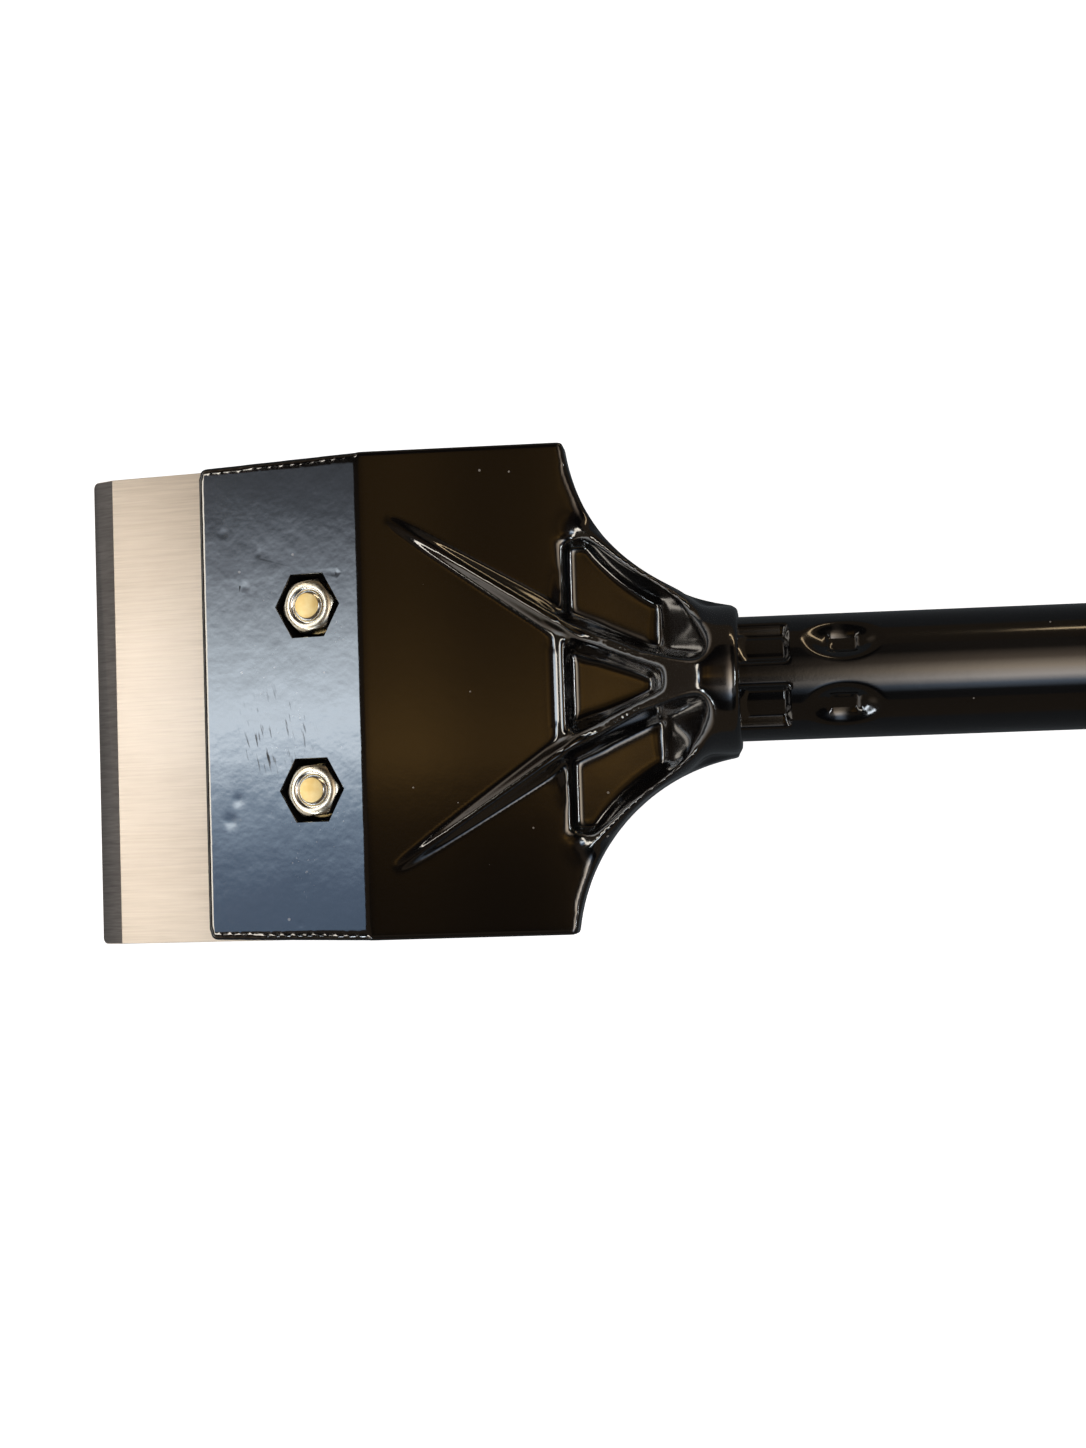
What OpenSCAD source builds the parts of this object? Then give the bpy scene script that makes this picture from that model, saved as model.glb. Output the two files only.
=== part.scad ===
// Long-handled scraper: a cast head with a bolted blade, crimped to a steel tube.
// X runs from the blade to the hand grip, Z is up through the nuts.

/* [Blade] */
// Width of the cutting edge
blade_w = 127; // [108:1:160]
// Thickness of the blade
blade_t = 3; // [2:0.1:4]
// Blade that stands out in front of the head
blade_reach = 38; // [25:1:50]
// Width of the ground bevel
bevel_w = 7; // [4:0.1:9]
// Thickness left at the cutting edge
edge_t = 0.4; // [0.2:0.1:1]

/* [Head] */
// How far the head stands out past the blade on each side, behind the bend
head_over = 0.25; // [0:0.05:1]
// How much the seat narrows on each side towards its front edge
seat_taper = 1.05; // [0:0.05:2]
// Length of the sloping seat, along its face
seat_len = 45.5; // [40:0.5:60]
// Thickness of the seat
seat_t = 11.1; // [9:0.1:14]
// Angle between the seat and the level plate
bend = 12; // [5:0.5:20]
// Length of the level plate from the bend to its shoulders
plate_len = 53.6; // [48:0.2:70]
// Thickness of the level plate
plate_t = 11; // [8:0.5:14]
// Depth of the plate's top below the handle's axis
plate_drop = 3; // [0:0.5:6]
// Radius of the hollow between each shoulder and the collar
notch_r = 50.2; // [42:0.2:53]

/* [Ribs and pockets] */
// Distance of the rib tips behind the bend
rib_tip_back = 7; // [3:0.5:14]
// Distance of the rib tips from the middle
rib_tip_side = 45.8; // [44:0.2:48]
// Angle of the ribs to the handle
rib_angle = 33; // [32:0.5:34]
// Height of a rib at its root
rib_h = 5.4; // [3:0.2:7]
// Width of a rib's foot at its root
rib_foot_w = 6.4; // [4:0.2:8]
// Width of a rib's crest
rib_crest_w = 1.6; // [1:0.1:2.5]
// Depth of the pocket floors below the plate's top
pocket_sink = 3; // [1:0.2:5]
// Distance from the shoulders' line to the pocket floors
pocket_inset = 0.6; // [0.2:0.1:2]
// Width of the slope from a pocket's front rim to its floor
pocket_slope_w = 1.6; // [1:0.1:3]
// Half width of the middle pocket's floor
mid_floor_half = 9.6; // [7:0.2:11]
// Length of the middle pocket's floor
mid_floor_len = 21.6; // [16:0.2:22]
// Half width of the middle pocket's rim
mid_rim_half = 13.2; // [12:0.2:14]
// Length of the middle pocket's rim
mid_rim_len = 26; // [24.4:0.2:27]
// Length of a side pocket's floor
side_floor_len = 23.8; // [20:0.2:25]
// Distance of a side pocket's inner front corner from the middle, at the floor
side_floor_in = 19.4; // [18.8:0.2:22]
// Distance of a side pocket's inner front corner from the middle, at the rim
side_rim_in = 17.2; // [16.8:0.1:18.6]
// Distance of a side pocket's outer front corner from the middle
side_floor_out = 36.8; // [33:0.2:38]
// Width of a side pocket's floor at its far end
side_floor_end_w = 12.2; // [9:0.1:13]
// Distance of a side pocket's rim from the middle at its far end
side_rim_end = 3.5; // [3:0.1:6]
// Wall of a side pocket along the hollow, at the floor
pocket_wall = 4.9; // [4:0.1:7]

/* [Blade bolts] */
// Distance between the two bolts
bolt_pitch = 48.4; // [40:0.2:60]
// Distance of the bolts in front of the bend
bolt_ahead = 15; // [12:0.5:22]
// Diameter of the bolts
bolt_d = 8; // [6:0.5:8.5]
// Diameter of the domed bolt heads
bolt_head_d = 14; // [12:0.5:16]
// Height of the domed bolt heads
bolt_head_h = 4.4; // [3.5:0.1:5.5]
// Key size of the hexagon socket in each bolt head
bolt_key = 5; // [4:0.5:6]
// Nut size across its flats
nut_flats = 13; // [11:0.5:13.5]
// Nut height
nut_h = 6.5; // [5:0.1:7.5]
// Lock washer diameter
washer_d = 14.4; // [12:0.2:15.5]
// Lock washer thickness
washer_t = 2; // [1:0.1:2.5]
// Nut pocket from flat to flat
nut_pocket_h = 16.3; // [15.8:0.1:20]
// Nut pocket from point to point
nut_pocket_w = 17.7; // [17:0.1:21]
// How far a bolt's end stands above its nut
bolt_end_proud = 0.4; // [0:0.1:1.5]

/* [Handle] */
// Outer diameter of the handle tube
tube_d = 31.75; // [28:0.25:33]
// Wall of the handle tube
tube_wall = 1.6; // [1.2:0.1:2]
// Length of the handle tube
tube_len = 1200; // [900:10:1500]
// Outer diameter of the collar on the head
collar_d = 37.9; // [36:0.1:42]
// Distance from the shoulders to the collar's mouth
neck_len = 44.4; // [43:0.2:52]
// Length of the collar's round barrel
collar_len = 10; // [8:0.5:12]
// Depth of the tube in the collar
socket_depth = 6; // [5:0.5:7]
// Length of the tang inside the tube, beyond the collar's mouth
tang_reach = 42; // [38:0.5:60]
// Depth that the crimps are pressed in
crimp_depth = 2.6; // [1.5:0.1:3]
// Angle between the two crimps on the upper side, and between those on the lower side
crimp_spread = 65; // [60:1:90]
// Width of a crimp across the tube
crimp_w = 9; // [6:0.5:10]
// Distance from the collar's mouth to the middle of the first crimps
crimp_first = 6.6; // [6.5:0.1:8]
// Distance from the first crimps to the second
crimp_step = 18.6; // [18:0.2:22]
// Nose radius of the tool that pressed the first crimps
crimp_nose_first = 8; // [6:0.5:8]
// Nose radius of the tool that pressed the second crimps
crimp_nose_second = 20; // [14:1:20]
// Length of the hand grip
grip_len = 260; // [180:5:400]
// Wall of the hand grip
grip_wall = 3.2; // [2.5:0.1:5]
// Number of finger grooves in the hand grip
grip_grooves = 18; // [6:1:24]
// Depth of a finger groove
groove_depth = 0.8; // [0.4:0.1:1.2]
// Thickness of the end cap's flange
cap_t = 4; // [3:0.5:8]
// Length of the end cap's plug in the tube
cap_plug = 24; // [15:1:40]

/* [Fits] */
// Radial clearance of a bolt in the blade and head
bolt_clear = 0.25; // [0.15:0.05:0.3]
// Radial clearance of sliding and threaded pieces
slip = 0.05; // [0.02:0.01:0.1]

/* [Hidden] */
$fn = 64;

// Room past a surface so that a cut goes clean through it
over = 1;

// The head follows the blade's width
head_w = blade_w + 2 * head_over;
seat_front_w = head_w - 2 * seat_taper;

// The drawing frame has its origin on the handle's axis, above the bend
tube_r = tube_d / 2;
bore_r = tube_r - tube_wall;
collar_r = collar_d / 2;
mouth_x = plate_len + neck_len;
tube_x = mouth_x - socket_depth;
tube_end_x = tube_x + tube_len;
plate_top = -plate_drop;
plate_bottom = plate_top - plate_t;
pocket_floor_z = plate_top - pocket_sink;

// Depths under the seat's face
blade_top_n = -seat_t;
blade_bottom_n = blade_top_n - blade_t;
nut_seat_n = -nut_h - washer_t;
blade_front_s = seat_len + blade_reach;
blade_rear_gap = 2;
blade_rear_s = plate_t * tan(bend / 2) + blade_rear_gap;

// The lowest, foremost point is the under side of the cutting edge
tip_x = -blade_front_s * cos(bend) - blade_bottom_n * sin(bend);
tip_z = plate_top - blade_front_s * sin(bend) + blade_bottom_n * cos(bend);
tip_upper_x = tip_x - edge_t * sin(bend);
cap_end_x = tube_end_x + cap_t;
shift = [-(tip_upper_x + cap_end_x) / 2, 0, -tip_z];

// The hub rises from just in front of the shoulders to the collar
hub_lead = 3.6;
hub_half_w = 20;
hub_wing = 8;
hub_x = plate_len - hub_lead;
collar_x = mouth_x - collar_len;
hub_rise = (collar_r - plate_top) / (collar_x - hub_x);

// The pockets' floors are level, and their rims follow the hub's slope
pocket_x = plate_len + pocket_inset;
rim_x = pocket_x - pocket_slope_w;
hollow_draft = tan(17);
pocket_turn = 8.4;
rim_lean = 3.4;
rim_reach = 16.5;
function side_floor_y(x) = side_floor_in - (x - pocket_x) * tan(rib_angle - pocket_turn);
side_floor_far_x = pocket_x + side_floor_len;
side_floor_end = side_floor_y(side_floor_far_x);
side_rim_far_x = side_floor_far_x + rim_reach;
function rim_z(x) = plate_top + (x - hub_x) * hub_rise + over;

// Moves what is drawn on the handle's axis to the part's own origin, at the bottom centre of its box
module in_frame() {
    translate(shift) children();
}

// Turns what is drawn level to lie along the seat's face
module on_seat() {
    translate([0, 0, plate_top]) rotate([0, -bend, 0]) children();
}

// A bolt's axis, square to the seat, with zero at the seat's face.
// side is -1 at the left and 1 at the right, as the user stands behind the handle.
module at_bolt(side) {
    on_seat() translate([-bolt_ahead, side * bolt_pitch / 2, 0]) children();
}

// A cylinder along the handle between two stations
module bar(x0, x1, r) {
    translate([x0, 0, 0]) rotate([0, 90, 0]) cylinder(r = r, h = x1 - x0);
}

// The head from above: shoulders, hollows and neck
module head_outline() {
    difference() {
        translate([0, -head_w / 2]) square([mouth_x - over, head_w]);
        for (side = [-1, 1])
            translate([plate_len + notch_r, side * (collar_r + notch_r)]) circle(r = notch_r, $fn = 128);
    }
}

// The seat that the blade is bolted to
module seat() {
    on_seat() translate([0, 0, -seat_t]) linear_extrude(seat_t) polygon([
        [0, -head_w / 2], [0, head_w / 2],
        [-seat_len, seat_front_w / 2], [-seat_len, -seat_front_w / 2]]);
}

// The hub that swells from the plate to the collar
module hub() {
    wing_y = side_floor_out + hub_wing;
    intersection() {
        hull() {
            translate([0, 0, plate_bottom]) linear_extrude(plate_t) polygon([
                [hub_x, -hub_half_w], [hub_x, hub_half_w],
                [pocket_x + pocket_slope_w, wing_y], [pocket_x + pocket_slope_w, -wing_y]]);
            bar(collar_x, collar_x + over, collar_r);
        }
        translate([0, 0, -collar_r - over]) linear_extrude(2 * (collar_r + over)) head_outline();
    }
}

// A rib that rises from a point behind the bend to the hub
module rib(side) {
    past_shoulders = 8;
    tip_r = 0.5;
    run = (plate_len + past_shoulders - rib_tip_back) / cos(rib_angle);
    translate([rib_tip_back, side * rib_tip_side, plate_top]) rotate([0, 0, -side * rib_angle]) hull() {
        translate([0, 0, -over]) cylinder(r = tip_r, h = over, $fn = 16);
        translate([run, -rib_foot_w / 2, -over]) cube([over, rib_foot_w, over]);
        translate([run, -rib_crest_w / 2, -over]) cube([over, rib_crest_w, rib_h + over]);
    }
}

// The space of a pocket, between the corners of its floor and of its rim
module pocket_space(floor_corners, rim_corners) {
    dot = 0.01;
    hull() {
        for (c = floor_corners) translate([c[0], c[1], pocket_floor_z]) cube(dot, center = true);
        for (c = rim_corners) translate([c[0], c[1], rim_z(c[0])]) cube(dot, center = true);
    }
}

// The space of the three-cornered pocket between the ribs
module middle_pocket() {
    floor_tip = 2;
    rim_tip = 2.4;
    pocket_space([[pocket_x, -mid_floor_half], [pocket_x, mid_floor_half],
                  [pocket_x + mid_floor_len, floor_tip], [pocket_x + mid_floor_len, -floor_tip]],
                 [[rim_x, -mid_rim_half], [rim_x, mid_rim_half],
                  [rim_x + mid_rim_len, rim_tip], [rim_x + mid_rim_len, -rim_tip]]);
}

// The space of a four-cornered pocket between a rib and the hollow beside it
module side_pocket(side) {
    rim_out = side_floor_out + pocket_slope_w;
    corner = 5;
    bow_share = 0.75;
    bow_x = pocket_x + bow_share * side_floor_len;
    bow = [bow_x, side * (side_floor_y(bow_x) - rim_lean)];
    end_r = (collar_r - side_rim_end) / 2;
    round_end = [for (a = [-75:30:75])
        [side_rim_far_x - end_r * (1 - cos(a)), side * (side_rim_end + end_r * (1 + sin(a)))]];
    difference() {
        pocket_space([[pocket_x, side * side_floor_in], [pocket_x, side * side_floor_out],
                      [pocket_x + corner, side * side_floor_out],
                      [side_floor_far_x, side * (side_floor_end + side_floor_end_w)],
                      [side_floor_far_x, side * side_floor_end]],
                     concat([[rim_x, side * side_rim_in], [rim_x, side * rim_out],
                             [pocket_x + corner, side * rim_out], bow], round_end));
        translate([plate_len + notch_r, side * (collar_r + notch_r), pocket_floor_z - over])
            cylinder(r1 = notch_r + pocket_wall + over * hollow_draft,
                     r2 = notch_r + pocket_wall - 2 * collar_r * hollow_draft,
                     h = 2 * collar_r + over, $fn = 128);
    }
}

// The hexagonal recess that holds a nut
module nut_pocket(side) {
    at_bolt(side) {
        translate([0, 0, nut_seat_n]) linear_extrude(-nut_seat_n + over) polygon([
            [-nut_pocket_w / 2, 0], [-nut_pocket_w / 4, nut_pocket_h / 2], [nut_pocket_w / 4, nut_pocket_h / 2],
            [nut_pocket_w / 2, 0], [nut_pocket_w / 4, -nut_pocket_h / 2], [-nut_pocket_w / 4, -nut_pocket_h / 2]]);
        translate([0, 0, blade_top_n - over]) cylinder(d = bolt_d + 2 * bolt_clear, h = seat_t);
    }
}

// Two scallops across the upper side of the tube and two across the lower, in both crimp rows.
// grow is the distance that a scallop is grown by on every side.
module crimps(grow) {
    for (row = [[crimp_first, crimp_nose_first], [crimp_first + crimp_step, crimp_nose_second]])
        for (turn = [-crimp_spread / 2, crimp_spread / 2, 180 - crimp_spread / 2, 180 + crimp_spread / 2])
            translate([mouth_x + row[0], 0, 0]) rotate([turn, 0, 0])
                translate([0, crimp_w / 2 + grow, tube_r - crimp_depth + row[1]]) rotate([90, 0, 0])
                    cylinder(r = row[1] + grow, h = crimp_w + 2 * grow);
}

// The head: seat, plate, ribs, pockets, collar and the tang inside the tube, cast in one
module head() color([0.05, 0.05, 0.06]) in_frame() {
    difference() {
        union() {
            seat();
            translate([0, 0, plate_bottom]) linear_extrude(plate_t) head_outline();
            hub();
            for (side = [-1, 1]) rib(side);
            bar(collar_x, mouth_x - over, collar_r);
            translate([mouth_x - over, 0, 0]) rotate([0, 90, 0])
                cylinder(r1 = collar_r, r2 = collar_r - over, h = over);
        }
        middle_pocket();
        for (side = [-1, 1]) side_pocket(side);
        for (side = [-1, 1]) nut_pocket(side);
        bar(tube_x, mouth_x + over, tube_r + slip);
    }
    difference() {
        bar(tube_x - over, mouth_x + tang_reach, bore_r - slip);
        crimps(tube_wall + slip);
    }
}

// The blade: a ground steel plate with two holes
module blade() color([0.86, 0.81, 0.75]) in_frame() {
    on_seat() difference() {
        translate([-blade_front_s, -blade_w / 2, blade_bottom_n])
            cube([blade_front_s - blade_rear_s, blade_w, blade_t]);
        translate([-blade_front_s, 0, blade_bottom_n + edge_t])
            rotate([0, -atan2(blade_t - edge_t, bevel_w), 0])
                translate([-2 * blade_t, -blade_w / 2 - over, 0])
                    cube([2 * blade_t + 2 * bevel_w, blade_w + 2 * over, 2 * blade_t]);
        for (side = [-1, 1])
            translate([-bolt_ahead, side * bolt_pitch / 2, blade_bottom_n - over])
                cylinder(d = bolt_d + 2 * bolt_clear, h = blade_t + 2 * over);
    }
}

// A bolt: domed head under the blade, hexagon socket, shank up through the nut
module bolt(side) color([0.80, 0.65, 0.35]) in_frame() {
    dome_r = (pow(bolt_head_d / 2, 2) + pow(bolt_head_h, 2)) / (2 * bolt_head_h);
    end_chamfer = 0.7;
    shank_r = bolt_d / 2 - slip;
    at_bolt(side) difference() {
        union() {
            intersection() {
                translate([0, 0, blade_bottom_n - bolt_head_h + dome_r]) sphere(r = dome_r);
                translate([0, 0, blade_bottom_n - bolt_head_h]) cylinder(d = bolt_head_d + over, h = bolt_head_h);
            }
            translate([0, 0, blade_bottom_n - over])
                cylinder(r = shank_r, h = bolt_end_proud - end_chamfer - blade_bottom_n + over);
            translate([0, 0, bolt_end_proud - end_chamfer])
                cylinder(r1 = shank_r, r2 = shank_r - end_chamfer, h = end_chamfer);
        }
        translate([0, 0, blade_bottom_n - bolt_head_h - over])
            cylinder(d = bolt_key / cos(30), h = bolt_head_h / 2 + over, $fn = 6);
    }
}

// A split lock washer in the floor of a nut pocket
module lock_washer(side) color([0.80, 0.70, 0.42]) in_frame() {
    split_w = 1.2;
    split_turn = 40;
    at_bolt(side) translate([0, 0, nut_seat_n]) difference() {
        cylinder(d = washer_d, h = washer_t);
        translate([0, 0, -over]) cylinder(d = bolt_d + 2 * bolt_clear, h = washer_t + 2 * over);
        rotate([0, 0, split_turn]) translate([0, -split_w / 2, -over])
            cube([washer_d, split_w, washer_t + 2 * over]);
    }
}

// A hexagon nut on its lock washer, with its corners turned round at both faces
module nut(side) color([0.84, 0.76, 0.52]) in_frame() {
    face_step = 0.2;
    face_r = nut_flats / 2 - face_step;
    wide_r = face_r + nut_h / tan(30);
    mouth = 0.6;
    twist = side > 0 ? 10 : 4;
    at_bolt(side) translate([0, 0, -nut_h]) difference() {
        intersection() {
            rotate([0, 0, twist]) cylinder(d = nut_flats / cos(30), h = nut_h, $fn = 6);
            cylinder(r1 = face_r, r2 = wide_r, h = nut_h);
            cylinder(r1 = wide_r, r2 = face_r, h = nut_h);
        }
        translate([0, 0, -over]) cylinder(d = bolt_d, h = nut_h + 2 * over);
        translate([0, 0, nut_h - mouth]) cylinder(d1 = bolt_d, d2 = bolt_d + 2 * mouth, h = mouth + slip);
    }
}

// The handle: a steel tube crimped on the tang in two rows of four
module handle_tube() color([0.06, 0.06, 0.07]) in_frame() {
    difference() {
        bar(tube_x, tube_end_x, tube_r);
        difference() {
            bar(tube_x - over, tube_end_x + over, bore_r);
            crimps(tube_wall);
        }
        crimps(0);
    }
}

// The hand grip: a ribbed sleeve over the end of the tube
module hand_grip() color([0.09, 0.09, 0.09]) in_frame() {
    grip_r = tube_r + slip + grip_wall;
    groove_pitch = grip_len / (grip_grooves + 2);
    groove_w = groove_pitch / 3;
    difference() {
        bar(tube_end_x - grip_len, tube_end_x, grip_r);
        bar(tube_end_x - grip_len - over, tube_end_x + over, tube_r + slip);
        for (i = [1:grip_grooves]) {
            groove_x = tube_end_x - grip_len + (i + 0.5) * groove_pitch;
            difference() {
                bar(groove_x, groove_x + groove_w, grip_r + over);
                bar(groove_x - over, groove_x + groove_w + over, grip_r - groove_depth);
            }
        }
    }
}

// The end cap: a flange over the tube and grip, with a plug inside the tube
module end_cap() color([0.07, 0.07, 0.07]) in_frame() {
    flange_step = 0.5;
    flange_r = tube_r + grip_wall - flange_step;
    edge = cap_t / 2;
    plug_wall = 2;
    difference() {
        union() {
            bar(tube_end_x, cap_end_x - edge, flange_r);
            translate([cap_end_x - edge, 0, 0]) rotate([0, 90, 0])
                cylinder(r1 = flange_r, r2 = flange_r - edge, h = edge);
            bar(tube_end_x - cap_plug, tube_end_x + over, bore_r - slip);
        }
        bar(tube_end_x - cap_plug - over, tube_end_x, bore_r - slip - plug_wall);
    }
}

head();
blade();
bolt(-1);  // bolt_left
bolt(1);  // bolt_right
lock_washer(-1);  // lock_washer_left
lock_washer(1);  // lock_washer_right
nut(-1);  // nut_left
nut(1);  // nut_right
handle_tube();
hand_grip();
end_cap();
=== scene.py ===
# %% [markdown]
# # A long-handled scraper
# The tool has a black cast head with a steel blade bolted under it, and a black tube that is crimped onto
# the head. The solids come from the CAD model. Here each one gets the rounded edges, dents and finish that
# the real piece has, and the CAD solid stays behind it for its size and its weight.

# %% Load the frame
import math

import bpy
from mathutils import Matrix, Vector


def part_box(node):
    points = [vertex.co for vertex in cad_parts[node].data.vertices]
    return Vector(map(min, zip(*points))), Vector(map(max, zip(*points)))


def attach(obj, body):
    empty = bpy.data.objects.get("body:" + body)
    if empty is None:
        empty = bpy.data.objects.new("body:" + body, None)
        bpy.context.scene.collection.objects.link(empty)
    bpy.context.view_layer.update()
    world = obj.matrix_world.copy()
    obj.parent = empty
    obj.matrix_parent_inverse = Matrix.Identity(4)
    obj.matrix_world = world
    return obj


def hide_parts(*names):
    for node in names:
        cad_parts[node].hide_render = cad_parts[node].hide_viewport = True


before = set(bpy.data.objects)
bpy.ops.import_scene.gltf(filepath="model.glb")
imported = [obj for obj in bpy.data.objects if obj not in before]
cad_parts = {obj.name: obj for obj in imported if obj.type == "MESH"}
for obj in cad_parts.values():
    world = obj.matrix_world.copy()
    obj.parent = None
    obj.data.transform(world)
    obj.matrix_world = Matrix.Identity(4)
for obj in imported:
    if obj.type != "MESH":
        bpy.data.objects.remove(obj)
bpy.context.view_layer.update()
print("nodes:", sorted(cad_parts))

# %% [markdown]
# ## Where things are
# The CAD drawing has its zero on the handle's axis, right above the bend in the head. Its millimetres are
# handy, so two small functions turn them into the part's own metres. The second one follows the sloping
# seat: how far ahead of the bend, to the side and above the face. Two more go the other way.

# %% Millimetres on the drawing
MM = 0.001
TUBE_START = 92
BEND = math.radians(12)
PLATE_TOP = -3
tube_low, tube_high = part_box("handle_tube")
AXIS_Z = (tube_low.z + tube_high.z) / 2
ZERO_X = tube_low.x - TUBE_START * MM


def at(x, y, z):
    """A point of the drawing, in the part's metres."""
    return Vector((ZERO_X + x * MM, y * MM, AXIS_Z + z * MM))


def on_seat(ahead, side, above):
    """A point over the sloping seat, in the part's metres."""
    return at(-ahead * math.cos(BEND) - above * math.sin(BEND), side,
              PLATE_TOP - ahead * math.sin(BEND) + above * math.cos(BEND))


SEAT_ZERO = on_seat(0, 0, 0)
SEAT_AHEAD = (on_seat(1, 0, 0) - SEAT_ZERO) / MM
SEAT_UP = (on_seat(0, 0, 1) - SEAT_ZERO) / MM


def drawn(point):
    """Where a point of the part lies on the drawing, in millimetres."""
    return (point.x - ZERO_X) / MM, point.y / MM, (point.z - AXIS_Z) / MM


def over_seat(point):
    """How far ahead of the bend, to the side and above the seat a point lies, in millimetres."""
    offset = (point - SEAT_ZERO) / MM
    return offset.dot(SEAT_AHEAD), offset.y, offset.dot(SEAT_UP)


print("bend at x =", round(ZERO_X, 4), "handle axis at z =", round(AXIS_Z, 4))

# %% [markdown]
# ## Small helpers
# Operators work on whatever is selected, so every piece is picked alone before it is worked on. A CAD node
# comes in as loose triangles, so a copy of it is merged before anything else. Each finished piece takes a
# material, rides on the tool's one body and hides the CAD node that it stands for.


# %% Pick, add and link
def pick(piece):
    """Selects one piece alone and makes it active."""
    bpy.ops.object.select_all(action="DESELECT")
    piece.select_set(True)
    bpy.context.view_layer.objects.active = piece


def added(name, operator, **settings):
    """Runs an operator that adds an object, and names the object and its data."""
    operator(**settings)
    piece = bpy.context.object
    piece.name = name
    piece.data.name = name
    return piece


def link_mesh(name, mesh):
    """A new object in the scene that shows a mesh."""
    piece = bpy.data.objects.new(name, mesh)
    bpy.context.scene.collection.objects.link(piece)
    return piece


def from_points(name, points, edges, faces):
    """A new object made of points, edges and faces."""
    mesh = bpy.data.meshes.new(name)
    mesh.from_pydata(points, edges, faces)
    return link_mesh(name, mesh)


print("pick, add and link ready")

# %% Copy, modify and finish
MERGE_DISTANCE = 0.002


def copy_node(node, name):
    """A merged copy of a CAD node as a piece of its own."""
    piece = link_mesh(name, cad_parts[node].data.copy())
    piece.data.materials.clear()
    pick(piece)
    bpy.ops.object.mode_set(mode="EDIT")
    bpy.ops.mesh.select_all(action="SELECT")
    bpy.ops.mesh.remove_doubles(threshold=MERGE_DISTANCE * MM)
    bpy.ops.object.mode_set(mode="OBJECT")
    return piece


def modify(piece, kind, **settings):
    """Adds a modifier with these settings and applies it."""
    pick(piece)
    modifier = piece.modifiers.new(kind.lower(), kind)
    for key, value in settings.items():
        setattr(modifier, key, value)
    bpy.ops.object.modifier_apply(modifier=modifier.name)


def two_materials(piece, first, second, chosen):
    """Gives a piece two materials, the second one on the faces that are chosen."""
    piece.data.materials.clear()
    for material in (first, second):
        piece.data.materials.append(material)
    for face in piece.data.polygons:
        face.material_index = int(chosen(face))


def finish_piece(piece, node, slot, *materials):
    """Materials, body and replaced node of a finished piece."""
    for material in materials:
        piece.data.materials.append(material)
    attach(piece, "root")
    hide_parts(node)
    print(piece.name, len(piece.data.polygons), "faces")


print("copy, modify and finish ready")

# %% [markdown]
# ## The camera
# The photograph looks almost straight down on the head, from a little behind it and a little to the left.
# The place and the turn were fitted to points on the head, the blade, the nuts and the tube.

# %% Camera
PHOTO_WIDTH, FOCAL_PX = 1086, 2400
SENSOR = 36
AIM_X, AIM_Y, DISTANCE = 46.95, -9.52, 615.2
YAW, PITCH, ROLL = math.radians(-5.24), math.radians(-3.16), math.radians(1.82)
NEAREST = 10
camera = added("camera", bpy.ops.object.camera_add)
camera.data.sensor_fit = "HORIZONTAL"
camera.data.sensor_width = SENSOR
camera.data.lens = SENSOR * FOCAL_PX / PHOTO_WIDTH
camera.data.clip_start = NEAREST * MM
turn = Matrix.Rotation(ROLL, 3, "Z") @ Matrix.Rotation(PITCH, 3, "X") @ Matrix.Rotation(YAW, 3, "Y")
turn.transpose()
camera_spot = at(AIM_X, AIM_Y, 0) + turn @ Vector((0, 0, DISTANCE * MM))
camera.matrix_world = Matrix.Translation(camera_spot) @ turn.to_4x4()
bpy.context.scene.camera = camera
print("camera at", [round(c, 4) for c in camera.location])

# %% [markdown]
# ## The black paint
# The head and the tube wear a thick gloss paint that has dried in soft lumps, like the skin of an orange.
# Specks of dust have stuck to it, and it has chipped along the edges. Lumps, dust and scuffs are groups of
# nodes, so that each material can use them with its own values.


# %% Node helpers
def new_group(name, output, kind, **values):
    """A shader group with a Vector input, number inputs with these values, and one output."""
    group = bpy.data.node_groups.new(name, "ShaderNodeTree")
    group.interface.new_socket("Vector", in_out="INPUT", socket_type="NodeSocketVector")
    for key, value in values.items():
        socket = group.interface.new_socket(key, in_out="INPUT", socket_type="NodeSocketFloat")
        socket.default_value = value
    group.interface.new_socket(output, in_out="OUTPUT", socket_type=kind)
    return group, group.nodes.new("NodeGroupInput").outputs, group.nodes.new("NodeGroupOutput").inputs


def add(tree, kind, **settings):
    """A node with its settings; keys that name an input socket set its value."""
    node = tree.nodes.new(kind)
    for key, value in settings.items():
        socket = key.replace("_", " ")
        if socket in node.inputs:
            node.inputs[socket].default_value = value
        else:
            setattr(node, key, value)
    return node


def math_node(tree, operation, first, second):
    """A Math node whose two inputs are sockets or numbers."""
    node = add(tree, "ShaderNodeMath", operation=operation)
    for socket, value in zip(node.inputs, (first, second)):
        if isinstance(value, (int, float)):
            socket.default_value = value
        else:
            tree.links.new(value, socket)
    return node.outputs[0]


def noise(tree, vector, scale, detail=2.0, roughness=0.5):
    """The value of a noise texture."""
    node = add(tree, "ShaderNodeTexNoise", Scale=scale, Detail=detail, Roughness=roughness)
    tree.links.new(vector, node.inputs["Vector"])
    return node.outputs["Fac"]


print("node helpers ready")

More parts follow.
